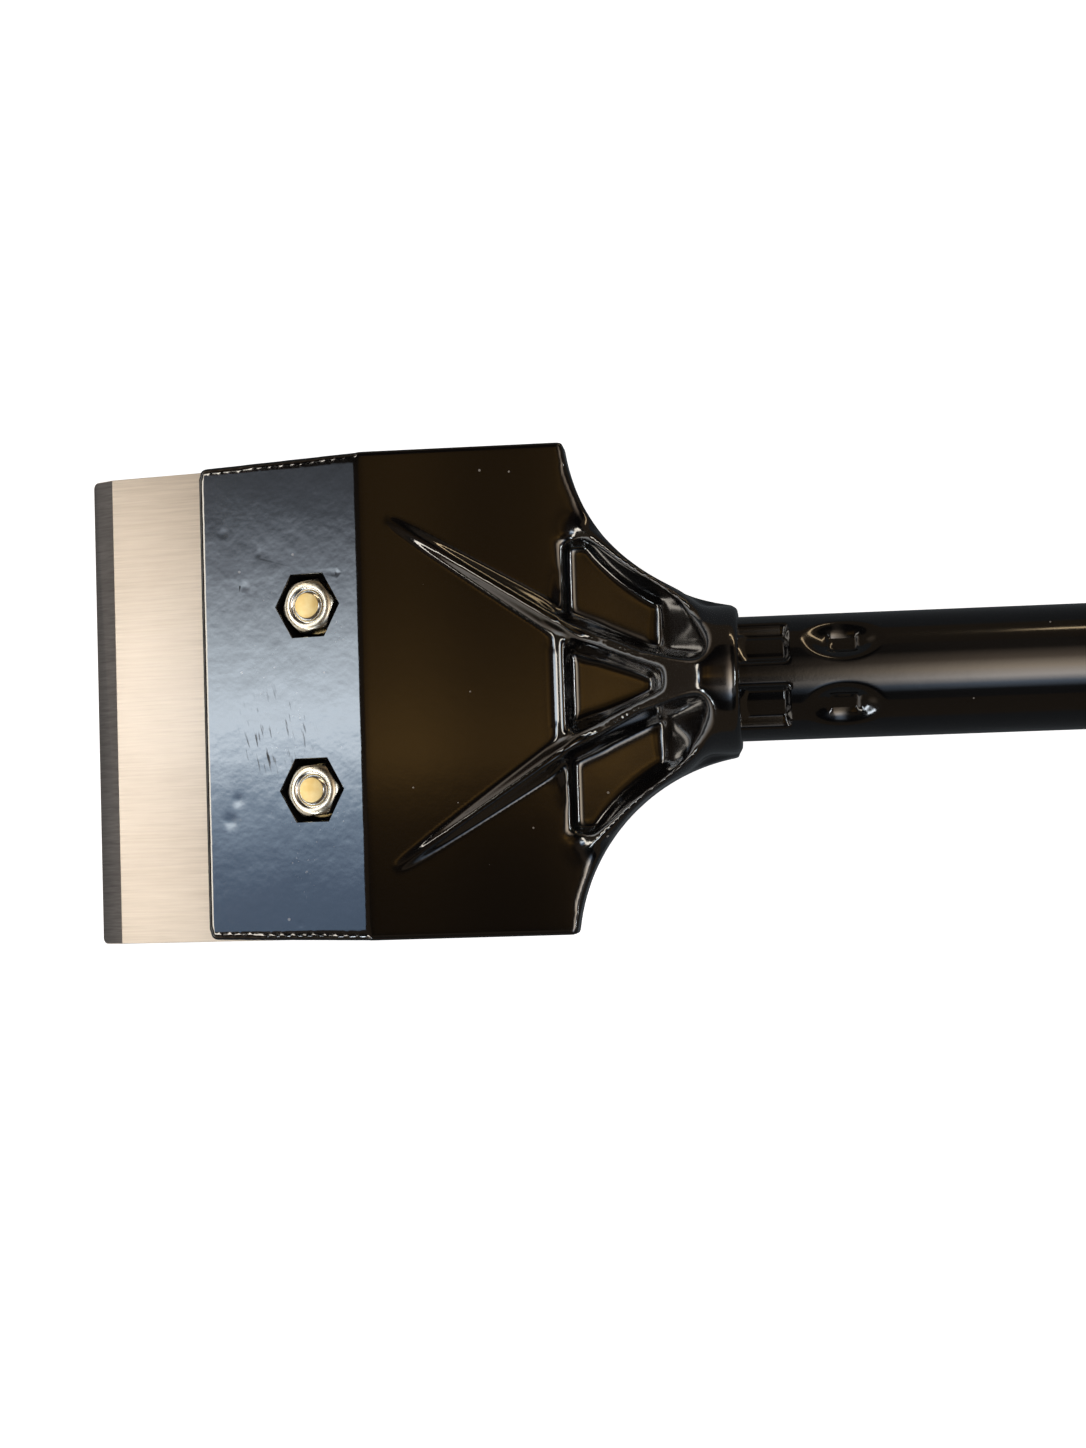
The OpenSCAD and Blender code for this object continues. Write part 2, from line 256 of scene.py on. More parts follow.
# %% Group: orange peel
PEEL_DEPTH = 0.2
MIDDLE_SHARE, FINE_SHARE = 0.16, 0.05
peel, peel_in, peel_out = new_group("orange_peel", "Normal", "NodeSocketVector", Lumps=1.0, Grain=1.0)
broad = noise(peel, peel_in["Vector"], 110, 3.0, 0.55)
middle = math_node(peel, "MULTIPLY", noise(peel, peel_in["Vector"], 420), MIDDLE_SHARE)
fine = math_node(peel, "MULTIPLY", noise(peel, peel_in["Vector"], 1500, 1.0), FINE_SHARE)
peel_lumps = math_node(peel, "MULTIPLY", math_node(peel, "ADD", broad, middle), peel_in["Lumps"])
peel_grain = math_node(peel, "MULTIPLY", fine, peel_in["Grain"])
peel_bump = add(peel, "ShaderNodeBump", Strength=1.0, Distance=PEEL_DEPTH * MM)
peel.links.new(math_node(peel, "ADD", peel_lumps, peel_grain), peel_bump.inputs["Height"])
peel.links.new(peel_bump.outputs["Normal"], peel_out["Normal"])
print("orange peel:", len(peel.nodes), "nodes")

# %% Group: dust specks
LARGEST_SPECK = 0.10
dust, dust_in, dust_out = new_group("dust_specks", "Mask", "NodeSocketFloat", Scale=260.0, Share=0.2)
cells = add(dust, "ShaderNodeTexVoronoi", feature="F1")
dust.links.new(dust_in["Vector"], cells.inputs["Vector"])
dust.links.new(dust_in["Scale"], cells.inputs["Scale"])
chance = add(dust, "ShaderNodeSeparateColor")
dust.links.new(cells.outputs["Color"], chance.inputs["Color"])
chosen = math_node(dust, "LESS_THAN", chance.outputs["Red"], dust_in["Share"])
speck_size = math_node(dust, "MULTIPLY", chance.outputs["Green"], LARGEST_SPECK)
near = math_node(dust, "LESS_THAN", cells.outputs["Distance"], speck_size)
dust.links.new(math_node(dust, "MULTIPLY", chosen, near), dust_out["Mask"])
print("dust specks:", len(dust.nodes), "nodes")

# %% Group: scuffs
SCUFF_AHEAD, SCUFF_SIDE, SCUFF_REACH = 25, -9, 13
STROKE_WIDTH, STROKE_LENGTH, STROKE_TURN = 0.8, 6, math.radians(12)


def ramp(tree, value, low, high, first=0.0, last=1.0):
    """Runs from first to last while the value runs from low to high, and stays level outside."""
    node = add(tree, "ShaderNodeMapRange", clamp=True,
               From_Min=low, From_Max=high, To_Min=first, To_Max=last)
    tree.links.new(value, node.inputs["Value"])
    return node.outputs["Result"]


scuffs, scuffs_in, scuffs_out = new_group("scuffs", "Mask", "NodeSocketFloat", Reach=SCUFF_REACH * MM)
slant = add(scuffs, "ShaderNodeMapping", vector_type="TEXTURE", Rotation=(0, 0, STROKE_TURN),
            Scale=(STROKE_WIDTH * MM, STROKE_LENGTH * MM, STROKE_LENGTH * MM))
scuffs.links.new(scuffs_in["Vector"], slant.inputs["Vector"])
strokes = ramp(scuffs, noise(scuffs, slant.outputs["Vector"], 1.0), 0.59, 0.72)
away = add(scuffs, "ShaderNodeVectorMath", operation="DISTANCE")
away.inputs[1].default_value = on_seat(SCUFF_AHEAD, SCUFF_SIDE, 0)
scuffs.links.new(scuffs_in["Vector"], away.inputs[0])
farness = math_node(scuffs, "DIVIDE", away.outputs["Value"], scuffs_in["Reach"])
nearness = ramp(scuffs, math_node(scuffs, "SUBTRACT", 1.0, farness), 0.0, 0.5)
scuffs.links.new(math_node(scuffs, "MULTIPLY", strokes, nearness), scuffs_out["Mask"])
print("scuffs:", len(scuffs.nodes), "nodes")


# %% Material helpers
def new_material(name, **sockets):
    """A Principled material, its shader and its Object coordinates."""
    material = bpy.data.materials.new(name)
    material.use_nodes = True
    tree = material.node_tree
    shader = tree.nodes["Principled BSDF"]
    for key, value in sockets.items():
        shader.inputs[key.replace("_", " ")].default_value = value
    place = add(tree, "ShaderNodeTexCoord").outputs["Object"]
    return material, tree, shader, place


def place_group(tree, group, place, **values):
    """A group node in a material, with its coordinates and values."""
    node = add(tree, "ShaderNodeGroup", node_tree=group)
    tree.links.new(place, node.inputs["Vector"])
    for key, value in values.items():
        node.inputs[key].default_value = value
    return node


def mix_colour(tree, amount, first, second):
    """A colour mix; amount, first and second are sockets or plain values."""
    node = add(tree, "ShaderNodeMix", data_type="RGBA")
    for index, value in ((0, amount), (6, first), (7, second)):
        if hasattr(value, "links"):
            tree.links.new(value, node.inputs[index])
        else:
            node.inputs[index].default_value = value
    return node.outputs[2]


print("material helpers ready")

# %% Paint on the tube
PAINT_BLACK, CHIP_PALE = (0.0035, 0.0035, 0.004, 1), (0.30, 0.28, 0.26, 1)
PAINT_COAT, GLOSS_CHANGE = 0.08, 0.04
PLATE_LUMPS = 0.06


def black_paint(name, gloss, grain, dust_share, coat_ior):
    """Thick gloss black with lumps, dust and nicked edges: the material, and its nodes to build on."""
    material, tree, shader, place = new_material(
        name, IOR=1.5, Coat_Weight=1.0, Coat_IOR=coat_ior, Coat_Roughness=PAINT_COAT)
    skin = place_group(tree, peel, place, Lumps=PLATE_LUMPS, Grain=grain)
    for socket in ("Normal", "Coat Normal"):
        tree.links.new(skin.outputs["Normal"], shader.inputs[socket])
    specks = place_group(tree, dust, place, Share=dust_share).outputs["Mask"]
    corners = ramp(tree, add(tree, "ShaderNodeNewGeometry").outputs["Pointiness"], 0.54, 0.60)
    nicks = math_node(tree, "MULTIPLY", corners, ramp(tree, noise(tree, place, 1400), 0.68, 0.74))
    pale = math_node(tree, "MAXIMUM", specks, nicks)
    tree.links.new(mix_colour(tree, pale, PAINT_BLACK, CHIP_PALE), shader.inputs["Base Color"])
    shine = ramp(tree, noise(tree, place, 60, 3.0), 0, 1, gloss, gloss + GLOSS_CHANGE)
    tree.links.new(shine, shader.inputs["Roughness"])
    return material, tree, shader, place, skin, shine


tube_paint = black_paint("tube_paint", gloss=0.11, grain=0.25, dust_share=0.20, coat_ior=1.5)[0]
print("paint:", tube_paint.name)

# %% [markdown]
# The head's paint has more to it. The seat is lumpier than the plate, steep walls are smoother than level
# faces, the coat is a little duller on the hub, and one spot of the seat is scuffed.

# %% Paint on the head
SEAT_LUMPS, HEAD_GRAIN, WALL_SHARE = 0.28, 0.15, 0.1
STEEP, LEVEL = 0.80, 0.97
HUB_COAT, COAT_START, COAT_END = 0.12, 44, 56
SCUFF_ROUGH = 0.35


def split_axes(tree, vector):
    """The X, Y and Z of a vector."""
    node = add(tree, "ShaderNodeSeparateXYZ")
    tree.links.new(vector, node.inputs[0])
    return node.outputs


head_paint, tree, shader, place, skin, shine = black_paint(
    "head_paint", gloss=0.05, grain=HEAD_GRAIN, dust_share=0.16, coat_ior=1.9)
along_tool = split_axes(tree, place)["X"]
upward = split_axes(tree, add(tree, "ShaderNodeTexCoord").outputs["Normal"])["Z"]
bump_share = ramp(tree, upward, STEEP, LEVEL, WALL_SHARE, 1.0)
lumps = ramp(tree, along_tool, at(-1, 0, 0).x, at(1, 0, 0).x, SEAT_LUMPS, PLATE_LUMPS)
for socket, depth in (("Lumps", lumps), ("Grain", HEAD_GRAIN)):
    tree.links.new(math_node(tree, "MULTIPLY", bump_share, depth), skin.inputs[socket])
coat = ramp(tree, along_tool, at(COAT_START, 0, 0).x, at(COAT_END, 0, 0).x, PAINT_COAT, HUB_COAT)
tree.links.new(coat, shader.inputs["Coat Roughness"])
scuffed = place_group(tree, scuffs, place).outputs["Mask"]
scuff_rough = math_node(tree, "MULTIPLY", scuffed, SCUFF_ROUGH)
tree.links.new(math_node(tree, "ADD", shine, scuff_rough), shader.inputs["Roughness"])
tree.links.new(math_node(tree, "SUBTRACT", 1.0, scuffed), shader.inputs["Coat Weight"])
# The lower walls of the nut pockets take a dull black without a coat, which mirrors almost nothing: painted
# shade deep in the pockets.
pocket_shade_black = new_material("pocket_shade_black", Roughness=0.75, Base_Color=(0.003, 0.003, 0.003, 1), IOR=1.3)[0]
print("paint:", head_paint.name, pocket_shade_black.name)

# %% [markdown]
# ## The head
# The head is one casting: the seat, the level plate, two ribs, three pockets and the collar, all with soft
# edges under the paint. Bevelling every edge of such a shape by hand would take long and leave odd corners
# where they meet. So the copy is remeshed into small even cells, which can be smoothed like wax: a little
# all over, more on the ribs and the hub, and most in three spots on each side, where the real casting looks
# melted. The nut pockets stay crisp on the real head, so they are plugged first and cut again at the end.

# %% Nut pocket cutters
BOLT_AHEAD, BOLT_SIDE = 15, 24.2
POCKET_POINTS, POCKET_FLATS, POCKET_DEPTH = 17.7, 16.3, 8.5
HEXAGON = ((-0.5, 0), (-0.25, -0.5), (0.25, -0.5), (0.5, 0), (0.25, 0.5), (-0.25, 0.5))
PLUG_GROW, PLUG_DEEPER = 1, 1.5
# Below this depth the pocket walls take the dull black of painted shade.
DARK_FROM = -1


def hexagon(name, sections):
    """A six-sided plug through sections of height above the seat and growth past the pocket's walls."""
    points = [(x * (POCKET_POINTS + 2 * grow), y * (POCKET_FLATS + 2 * grow), height)
              for height, grow in sections for x, y in HEXAGON]
    last = len(points) - 6
    walls = [(k + i, k + (i + 1) % 6, k + 6 + (i + 1) % 6, k + 6 + i)
             for k in range(0, last, 6) for i in range(6)]
    ends = [tuple(range(5, -1, -1)), tuple(range(last, last + 6))]
    piece = from_points(name, points, [], walls + ends)
    two_materials(piece, head_paint, pocket_shade_black, lambda face: face.center.z < DARK_FROM)
    return piece


def to_seat(piece, ahead=0, side=0):
    """Moves a mesh drawn in millimetres around zero to a place on the seat, with Z square to the face."""
    x_axis = (on_seat(-1, 0, 0) - SEAT_ZERO).normalized()
    z_axis = (on_seat(0, 0, 1) - SEAT_ZERO).normalized()
    axes = Matrix((x_axis, z_axis.cross(x_axis), z_axis)).transposed().to_4x4()
    piece.data.transform(Matrix.Translation(on_seat(ahead, side, 0)) @ axes @ Matrix.Scale(MM, 4))
    return piece


plug_form = ((-POCKET_DEPTH - PLUG_DEEPER, PLUG_GROW), (0, PLUG_GROW))
plugs = [to_seat(hexagon("plug", plug_form), BOLT_AHEAD, side * BOLT_SIDE) for side in (-1, 1)]
print("plugs:", len(plugs))

# %% Plug the nut pockets
casting = copy_node("head", "head_casting")
for plug in plugs:
    plug.select_set(True)
bpy.ops.object.join()
print("casting and plugs joined:", len(casting.data.polygons), "faces")

# %% Soft places
SEAT_HALF = 62.5
HUB_START, HUB_HALF, HUB_UNDER = 44, 46, -5
POCKET_FLOOR, SOFT_RISE, FLOOR_SHARE = -1.5, 2, 0.2
RIB_START, RIB_UNDER, RIB_SHARE = 3, -1, 0.75
PLATE_EDGE, SEAT_EDGE = 5, 2.5


def softness(along, side, height):
    """How much a place on the casting is softened, by its height over the plate."""
    if along > HUB_START and side < HUB_HALF and height > HUB_UNDER:
        return min(1.0, max(FLOOR_SHARE, (height - POCKET_FLOOR) / SOFT_RISE))
    if along > RIB_START and height > RIB_UNDER and side < SEAT_HALF - PLATE_EDGE:
        return RIB_SHARE
    return 1.0 if along < 0 and side > SEAT_HALF - SEAT_EDGE else 0.0


print("softness of a rib:", softness(RIB_START + 1, 0, 0))

# %% Remesh and soften the casting
FIRST_CELL, SECOND_CELL = 0.5, 0.62
FIRST_ROUNDS, SECOND_ROUNDS = 10, 2
SOFT_ROUNDS, MELT_ROUNDS = 18, 46
MELTED = ((84, 13, 10), (59, 12, 6), (54.5, 42, 7))
MELT_FADE = 4


def soften(piece, cell):
    """Smooths the soft places, and the melted spots most, as far in any cell size."""
    rounds = (FIRST_CELL / cell) ** 2
    soft = piece.vertex_groups.new(name="soft")
    melted = piece.vertex_groups.new(name="melted")
    for vertex in piece.data.vertices:
        along, side, up = drawn(vertex.co)
        side, height = abs(side), up - PLATE_TOP
        weight = softness(along, side, height)
        if weight > 0:
            soft.add([vertex.index], weight, "REPLACE")
        inside = max(reach - math.hypot(along - a, side - b) for a, b, reach in MELTED)
        if inside > 0 and height > HUB_UNDER:
            melted.add([vertex.index], min(1.0, inside / MELT_FADE), "REPLACE")
    modify(piece, "SMOOTH", factor=0.5, iterations=round(SOFT_ROUNDS * rounds), vertex_group="soft")
    modify(piece, "SMOOTH", factor=0.5, iterations=round(MELT_ROUNDS * rounds), vertex_group="melted")
    piece.vertex_groups.clear()


for cell, iterations in ((FIRST_CELL, FIRST_ROUNDS), (SECOND_CELL, SECOND_ROUNDS)):
    modify(casting, "REMESH", mode="VOXEL", voxel_size=cell * MM)
    modify(casting, "SMOOTH", factor=0.5, iterations=iterations)
    soften(casting, cell)
    print("casting:", len(casting.data.polygons), "cells of", cell, "mm")

# %% [markdown]
# The cells are about as coarse as the crests of the ribs, and leave beads along them. So a smooth form is
# made for each rib, as high as the casting's own rib, and the casting is laid onto it from above. Towards
# the hub the form fades out.

# %% Rib form
RIB_TIP_BACK, RIB_TIP_SIDE, RIB_ANGLE = 7, 45.8, math.radians(33)
RIB_RUN, RIB_TIP_HALF, RIB_FOOT_HALF, RIB_FILLET = 65, 0.5, 3.2, 1.3
RIB_STEP, RIB_STRIP, LEAD_STEPS = 0.4, 8, 10


def rib_form(side, rise):
    """A plate with one smooth rib, whose crest climbs by rise per millimetre."""
    long_count, wide_count = int(RIB_RUN / RIB_STEP), int(2 * RIB_STRIP / RIB_STEP)
    points = []
    for i in range(-LEAD_STEPS, long_count + 1):
        for j in range(wide_count + 1):
            s, w = i * RIB_STEP, j * RIB_STEP - RIB_STRIP
            share = max(0.0, s) / RIB_RUN
            half = RIB_TIP_HALF + (RIB_FOOT_HALF - RIB_TIP_HALF) * share + RIB_FILLET
            height = rise * max(0.0, s) * max(0.0, 1 - (w / half) ** 2) ** 2
            x = RIB_TIP_BACK + s * math.cos(RIB_ANGLE) + w * math.sin(RIB_ANGLE)
            y = RIB_TIP_SIDE - s * math.sin(RIB_ANGLE) + w * math.cos(RIB_ANGLE)
            points.append(at(x, side * y, PLATE_TOP + height))
    row = wide_count + 1
    faces = [(k, k + 1, k + 1 + row, k + row) for k in range(len(points) - row) if k % row < wide_count]
    return from_points("rib_form", points, [], faces)


print("rib form ready,", RIB_RUN, "mm long")

# %% Even out the ribs
STRIP_LEAD, STRIP_EDGE, STRIP_UNDER, STRIP_START = 3, 1, 1, 1
FADE_START, FADE_END = 47, 51


def rib_place(x, y):
    """How far along a rib from its tip, and how far across, for a point on the drawing."""
    back, side = x - RIB_TIP_BACK, RIB_TIP_SIDE - abs(y)
    return (back * math.cos(RIB_ANGLE) + side * math.sin(RIB_ANGLE),
            back * math.sin(RIB_ANGLE) - side * math.cos(RIB_ANGLE))


crest = {-1: 0.0, 1: 0.0}
strips = {side: casting.vertex_groups.new(name=f"strip_{side}") for side in crest}
for vertex in casting.data.vertices:
    x, y, up = drawn(vertex.co)
    s, w = rib_place(x, y)
    if up < PLATE_TOP - STRIP_UNDER or not STRIP_START < x < FADE_END:
        continue
    if s < -STRIP_LEAD or abs(w) > RIB_STRIP - STRIP_EDGE:
        continue
    side = 1 if y > 0 else -1
    strips[side].add([vertex.index], min(1.0, (FADE_END - x) / (FADE_END - FADE_START)), "REPLACE")
    if abs(x - FADE_START) < 1:
        crest[side] = max(crest[side], (up - PLATE_TOP) / s)
for side, rise in crest.items():
    form = rib_form(side, rise)
    modify(casting, "SHRINKWRAP", wrap_method="PROJECT", use_project_z=True, use_negative_direction=True,
           use_positive_direction=True, target=form, vertex_group=f"strip_{side}")
    bpy.data.objects.remove(form)
casting.vertex_groups.clear()
print("ribs climb by", [round(rise, 3) for rise in crest.values()])

# %% [markdown]
# The seat mirrors a window, so it has to be flat, apart from the small dents that the photograph shows. Each
# dent is given by its place ahead and to the side, its radius and its share of the depth. A flat face needs
# few cells, so the flat ones are thinned out afterwards.

# %% Flatten the seat and press dents in it
SEAT_LEN = 45.5
DENT_DEPTH = 0.06
DENTS = ((38.5, 44.7, 1.1, 0.6), (32.4, 30.2, 1.1, 0.6), (28.4, 38.7, 0.9, 0.5), (6.3, 32.2, 0.6, 0.9),
         (36.1, -26.0, 1.5, 0.9), (38.5, -31.7, 1.7, 1.0), (19.1, -59.2, 0.8, 0.5))
LEAST_DENT = 0.01
FACE_DEPTH, FACE_START, FACE_EDGE = 0.3, 0.8, 1


def dent_share(ahead, side):
    """How deep the deepest dent is at a place on the seat, as a share of the full depth."""
    return max(share * math.exp(-((ahead - a) ** 2 + (side - b) ** 2) / r ** 2) for a, b, r, share in DENTS)


flat = casting.vertex_groups.new(name="flat")
dents = casting.vertex_groups.new(name="dents")
for vertex in casting.data.vertices:
    ahead, side, above = over_seat(vertex.co)
    inner = FACE_START < ahead < SEAT_LEN - FACE_EDGE and abs(side) <= SEAT_HALF - FACE_EDGE
    if above < -FACE_DEPTH or not inner:
        continue
    flat.add([vertex.index], 1.0, "REPLACE")
    weight = dent_share(ahead, side)
    if weight > LEAST_DENT:
        dents.add([vertex.index], weight, "REPLACE")
seat_face = to_seat(added("seat_face", bpy.ops.mesh.primitive_plane_add, size=4 * SEAT_HALF))
modify(casting, "SHRINKWRAP", wrap_method="NEAREST_SURFACEPOINT", target=seat_face, vertex_group="flat")
bpy.data.objects.remove(seat_face)
modify(casting, "DISPLACE", strength=-DENT_DEPTH * MM, mid_level=0.0, vertex_group="dents")
casting.vertex_groups.clear()
print("seat flat, with", len(DENTS), "dents")

# %% Thin out the plain faces
TRIANGLES = 170000
SEAT_T, PLATE_T = 11.1, 11
SEAT_FLAT, UNDER_FLAT = 0.002, 0.02
KEEP_REAR, KEEP_FRONT, KEEP_SIDE = 4, 3, 4
plain = casting.vertex_groups.new(name="plain")
for vertex in casting.data.vertices:
    ahead, side, above = over_seat(vertex.co)
    height = drawn(vertex.co)[2] - PLATE_TOP
    inner = KEEP_REAR < ahead < SEAT_LEN - KEEP_FRONT and abs(side) < SEAT_HALF - KEEP_SIDE
    under = abs(height + PLATE_T) < UNDER_FLAT or abs(above + SEAT_T) < UNDER_FLAT
    if under or (inner and abs(above) < SEAT_FLAT):
        plain.add([vertex.index], 1.0, "REPLACE")
modify(casting, "DECIMATE", ratio=TRIANGLES / (2 * len(casting.data.polygons)), vertex_group="plain")
casting.vertex_groups.clear()
print("casting:", sum(len(face.vertices) - 2 for face in casting.data.polygons), "triangles")

# %% [markdown]
# The pockets get a rounded rim: the cutter flares out in a few small steps where it leaves the seat. Behind
# the bend no edge of the casting is sharp, so the shading there is smooth throughout.

# %% Cut the nut pockets
RIM_R, RIM_TURN, RIM_STEPS = 0.7, math.radians(50), 4
RIM_TOP, RIM_FLARE = 1, 0.8
two_materials(casting, head_paint, pocket_shade_black, lambda face: False)
cutter_form = [(-POCKET_DEPTH, 0)]
for step in range(RIM_STEPS + 1):
    rim_turn = RIM_TURN * step / RIM_STEPS
    cutter_form.append((RIM_R * (math.sin(rim_turn) - math.sin(RIM_TURN)), RIM_R * (1 - math.cos(rim_turn))))
cutter_form.append((RIM_TOP, cutter_form[-1][1] + RIM_FLARE))
for side in (-1, 1):
    cutter = to_seat(hexagon("cutter", cutter_form), BOLT_AHEAD, side * BOLT_SIDE)
    modify(casting, "BOOLEAN", operation="DIFFERENCE", solver="EXACT", object=cutter)
    bpy.data.objects.remove(cutter)
pick(casting)
bpy.ops.object.shade_smooth_by_angle(angle=math.radians(35))
for edge in casting.data.edges:
    if all(casting.data.vertices[end].co.x > ZERO_X for end in edge.vertices):
        edge.use_edge_sharp = False
finish_piece(casting, "head", "head_paint")

# %% [markdown]
# ## The blade
# The blade is a plate of spring steel, brushed along the tool, with a ground bevel at the front. The bevel
# faces get a much darker copy of the same steel: painted shade on that slanting face. The CAD blade has
# square corners, so this one is made anew from a block: its two front corners are rounded, a slanting cut
# makes the bevel, and every edge is broken. The brushing is a noise that is stretched along the tool, so
# that colour, roughness and bump all follow the same lines.


# %% Steel finishes
def rough_and_bump(tree, shader, value, rough_low, rough_high, strength, depth):
    """Lets a value set the roughness between two limits and raise a bump, its depth in millimetres."""
    tree.links.new(ramp(tree, value, 0, 1, rough_low, rough_high), shader.inputs["Roughness"])
    bump = add(tree, "ShaderNodeBump", Strength=strength, Distance=depth * MM)
    tree.links.new(value, bump.inputs["Height"])
    tree.links.new(bump.outputs["Normal"], shader.inputs["Normal"])


def brushed_steel(name, colour_low, colour_high, roughness, stretch):
    """Steel with fine lines along the direction whose stretch is small."""
    material, tree, shader, place = new_material(name, Metallic=1.0)
    lines = add(tree, "ShaderNodeMapping", Scale=stretch)
    tree.links.new(place, lines.inputs["Vector"])
    streak = noise(tree, lines.outputs["Vector"], 1.0, 4.0, 0.6)
    tone = math_node(tree, "ADD", math_node(tree, "MULTIPLY", streak, 0.75),
                     math_node(tree, "MULTIPLY", noise(tree, place, 40), 0.25))
    colour = mix_colour(tree, ramp(tree, tone, 0.3, 0.7), colour_low, colour_high)
    tree.links.new(colour, shader.inputs["Base Color"])
    rough_and_bump(tree, shader, streak, roughness - 0.08, roughness + 0.08, strength=0.25, depth=0.02)
    return material


blade_face = brushed_steel("blade_face", (0.60, 0.53, 0.46, 1), (0.86, 0.78, 0.69, 1),
                           roughness=0.44, stretch=(55, 1700, 55))
# The bevel's copy of the steel is much darker: painted shade on the slanting bevel faces.
blade_bevel_painted_shade = brushed_steel("blade_bevel_painted_shade", (0.13, 0.12, 0.115, 1), (0.25, 0.235, 0.225, 1),
                            roughness=0.45, stretch=(150, 1800, 150))
print("steel:", blade_face.name, blade_bevel_painted_shade.name)

# %% Blade
BLADE_W, BLADE_T = 127, 3
BLADE_FRONT, BLADE_REAR = 83.5, 3.2
EDGE_T, BEVEL_W, CORNER_R = 0.4, 7, 1.6
BLADE_BREAK = 0.18
blade = added("blade_plate", bpy.ops.mesh.primitive_cube_add, size=1,
              location=(-(BLADE_FRONT + BLADE_REAR) / 2, 0, -SEAT_T - BLADE_T / 2),
              scale=(BLADE_FRONT - BLADE_REAR, BLADE_W, BLADE_T))
bpy.ops.object.transform_apply(location=True, rotation=True, scale=True)
bpy.context.tool_settings.mesh_select_mode = (False, True, False)
bpy.ops.object.mode_set(mode="EDIT")
bpy.ops.mesh.select_all(action="DESELECT")
bpy.ops.object.mode_set(mode="OBJECT")
for edge in blade.data.edges:
    ends = [blade.data.vertices[i].co for i in edge.vertices]
    edge.select = ends[0].xy == ends[1].xy and ends[0].x < -(BLADE_FRONT + BLADE_REAR) / 2
bpy.ops.object.mode_set(mode="EDIT")
bpy.ops.mesh.bevel(offset=CORNER_R, segments=6)
bpy.ops.mesh.select_all(action="SELECT")
bpy.ops.mesh.bisect(plane_co=(-BLADE_FRONT, 0, -SEAT_T - BLADE_T + EDGE_T), use_fill=True, clear_outer=True,
                    plane_no=Vector((EDGE_T - BLADE_T, 0, BEVEL_W)).normalized())
bpy.ops.object.mode_set(mode="OBJECT")
bpy.context.tool_settings.mesh_select_mode = (True, False, False)
to_seat(blade)
modify(blade, "BEVEL", width=BLADE_BREAK * MM, segments=2, limit_method="ANGLE", angle_limit=math.radians(20))
print("blade:", len(blade.data.polygons), "faces")

# %% Blade faces
ALIKE = 0.97
bevel_slope = math.atan2(BLADE_T - EDGE_T, BEVEL_W) + BEND
slope_normal = Vector((-math.sin(bevel_slope), 0, math.cos(bevel_slope)))
# The slanting bevel faces take the darker steel: painted shade.
two_materials(blade, blade_face, blade_bevel_painted_shade, lambda face: face.normal.dot(slope_normal) > ALIKE)
pick(blade)
bpy.ops.object.shade_smooth_by_angle(angle=math.radians(25))
finish_piece(blade, "blade", "blade_steel")

# %% [markdown]
# ## Bolts, nuts and lock washers
# These are plated steel: cream nuts, gold bolt ends and gold lock washers deep in the pockets. The washers'
# gold is darker than the bolts': painted shade for their place deep in the pockets. For the bolts and
# washers the CAD shapes are right, so each copy only gets its edges broken. A real nut has a softly domed
# crown, so each nut is made as it is in a workshop: a round blank is turned, then its six sides are cut.
# The flat end of a bolt is a rough gold, and the turned ring around it is bare and bright.


# %% Lathe
def lathe(name, profile, steps=96):
    """Spins a line of (radius, height) points in millimetres around Z into a skin."""
    piece = from_points(name, [(radius, 0, height) for radius, height in profile],
                        [(i, i + 1) for i in range(len(profile) - 1)], [])
    pick(piece)
    bpy.ops.object.mode_set(mode="EDIT")
    bpy.ops.mesh.select_all(action="SELECT")
    bpy.ops.mesh.spin(steps=steps, angle=2 * math.pi, center=(0, 0, 0), axis=(0, 0, 1))
    bpy.ops.mesh.select_all(action="SELECT")
    bpy.ops.mesh.remove_doubles(threshold=0.005)
    bpy.ops.mesh.normals_make_consistent(inside=False)
    bpy.ops.object.mode_set(mode="OBJECT")
    bpy.ops.object.shade_smooth_by_angle(angle=math.radians(40))
    return piece


print("lathe ready")


# %% Plated finishes
def plated(name, colour_low, colour_high, roughness, grain_scale, grain_depth):
    """Zinc plating with patches of tint and a fine grain."""
    material, tree, shader, place = new_material(name, Metallic=1.0)
    patch = ramp(tree, noise(tree, place, 300, 3.0), 0.35, 0.65)
    tree.links.new(mix_colour(tree, patch, colour_low, colour_high), shader.inputs["Base Color"])
    rough_and_bump(tree, shader, noise(tree, place, grain_scale), roughness - 0.06, roughness + 0.10,
                   strength=0.4, depth=grain_depth)
    return material


nut_plating = plated("nut_plating", (0.85, 0.77, 0.60, 1), (0.90, 0.86, 0.74, 1),
                     roughness=0.26, grain_scale=900, grain_depth=0.003)
bolt_gold = plated("bolt_gold", (0.83, 0.60, 0.24, 1), (0.92, 0.74, 0.38, 1),
                   roughness=0.42, grain_scale=2200, grain_depth=0.03)
bright_turned = plated("bright_turned", (0.80, 0.80, 0.78, 1), (0.92, 0.92, 0.90, 1),
                       roughness=0.18, grain_scale=1500, grain_depth=0.004)
# The washers' gold is darker than the bolts': painted shade deep in the pockets.
washer_gold_painted_shade = plated("washer_gold_painted_shade", (0.62, 0.47, 0.20, 1), (0.78, 0.62, 0.32, 1),
                     roughness=0.35, grain_scale=1200, grain_depth=0.02)
print("plating:", nut_plating.name, bolt_gold.name, bright_turned.name, washer_gold_painted_shade.name)

